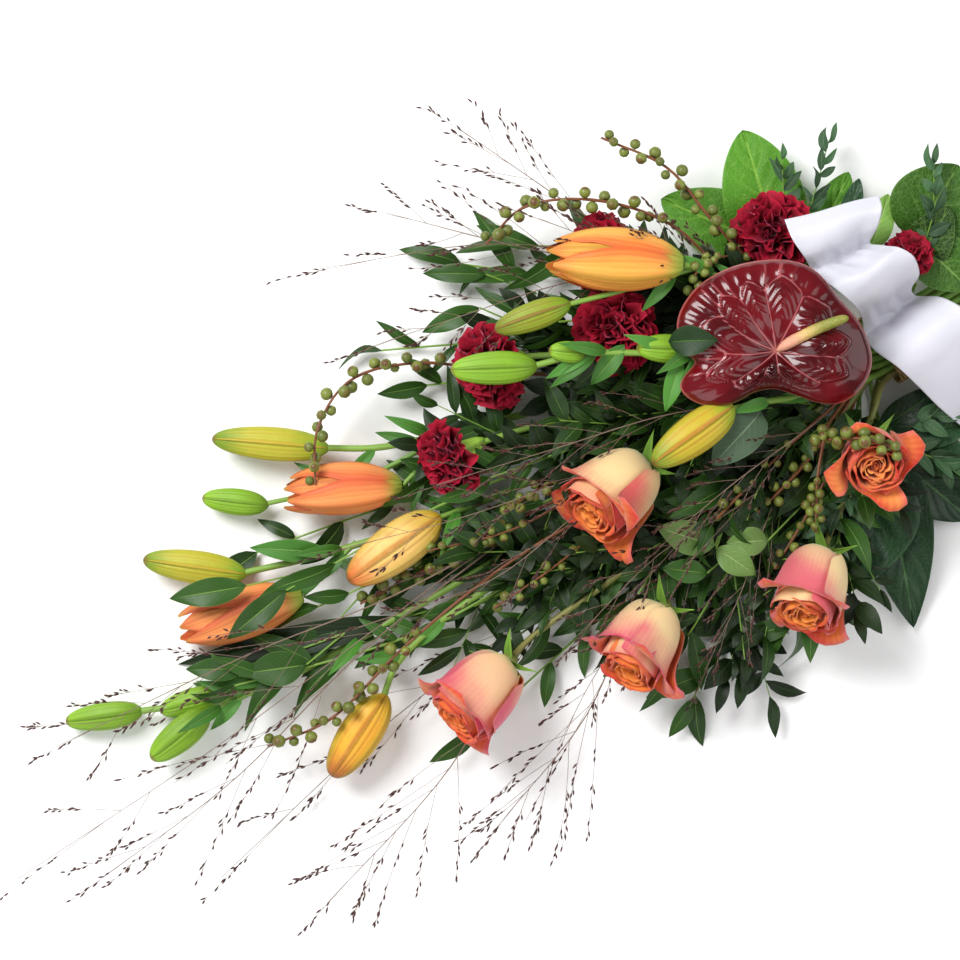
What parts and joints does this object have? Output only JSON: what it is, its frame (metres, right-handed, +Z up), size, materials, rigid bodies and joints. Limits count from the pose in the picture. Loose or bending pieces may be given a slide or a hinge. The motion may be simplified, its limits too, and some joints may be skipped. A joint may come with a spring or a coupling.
{
  "type": "funeral flower spray",
  "caption": "Flat tied funeral spray: roses, carnations, lily buds, an anthurium, berries and grasses in greenery, bound with twine under a draped satin ribbon.",
  "frame": {"origin": "middle of the flat underside of the tie, on the surface that the spray lies on", "axes": "+X along the spray from the flower tip to the cut stem ends, +Z up off the surface"},
  "size_m": [0.8863, 0.5089, 0.1144],
  "materials": {
    "twine": "wound natural twine, matt",
    "satin": "white satin ribbon with a soft sheen",
    "anthurium_stem": "smooth green stem",
    "spadix": "cream to green, fine bumps",
    "spathe": "waxy, glossy dark red, raised veins",
    "rose_stem": "green-brown stem and sepals",
    "rose_cream": "soft petals, cream outside, orange inside",
    "rose_pink": "soft petals, pink with orange lips",
    "rose_orange": "soft petals, orange with red lips",
    "carnation_stem": "waxy pale green stem and calyx",
    "carnation": "velvety dark red petals",
    "lily_green": "waxy fresh green",
    "lily_yellow": "waxy yellow bud with green ribs",
    "lily_orange": "waxy orange opening bud",
    "berry": "green round fruits on a red-brown twig",
    "grass": "thin grey-brown threads with dark purple spikelets",
    "ruscus": "dark green leathery leaves",
    "salal": "glossy green broad leaves"
  },
  "bodies": {
    "root": {"tie": "twine", "ribbon": "satin", "anthurium_stem": "anthurium_stem", "rose_stem_1": "rose_stem", "rose_stem_2": "rose_stem", "rose_stem_3": "rose_stem", "rose_stem_4": "rose_stem", "rose_stem_5": "rose_stem", "carnation_stem_1": "carnation_stem", "carnation_stem_2": "carnation_stem", "carnation_stem_3": "carnation_stem", "carnation_stem_4": "carnation_stem", "carnation_stem_5": "carnation_stem", "carnation_stem_6": "carnation_stem", "lily_stem_a": "lily_green", "lily_stem_b": "lily_green", "lily_stem_c": "lily_green", "lily_stem_d": "lily_green", "lily_stem_e": "lily_green", "lily_stem_f": "lily_green", "lily_stem_g": "lily_green", "berry_twig_1": "berry", "berry_twig_2": "berry", "berry_twig_3": "berry", "berry_twig_4": "berry", "berry_twig_5": "berry", "berry_twig_6": "berry", "grass_upper": "grass", "grass_tip": "grass", "grass_lower": "grass", "anthurium_spadix": "spadix", "anthurium_spathe": "spathe", "rose_1": "rose_cream", "rose_2": "rose_pink", "rose_3": "rose_cream", "rose_4": "rose_orange", "rose_5": "rose_orange", "carnation_1": "carnation", "carnation_2": "carnation", "carnation_3": "carnation", "carnation_4": "carnation", "carnation_5": "carnation", "carnation_6": "carnation", "lily_bud_a_1": "lily_orange", "lily_bud_a_2": "lily_yellow", "lily_bud_c_1": "lily_yellow", "lily_bud_c_2": "lily_orange", "lily_bud_d_1": "lily_yellow", "lily_bud_d_2": "lily_orange", "lily_bud_d_3": "lily_yellow", "lily_bud_f_1": "lily_yellow", "lily_bud_g_1": "lily_yellow", "ruscus_upper": "ruscus", "ruscus_tip": "ruscus", "ruscus_lower": "ruscus", "leaves_upper": "salal", "leaves_end": "salal", "leaves_side": "salal"}
  },
  "joints": []
}
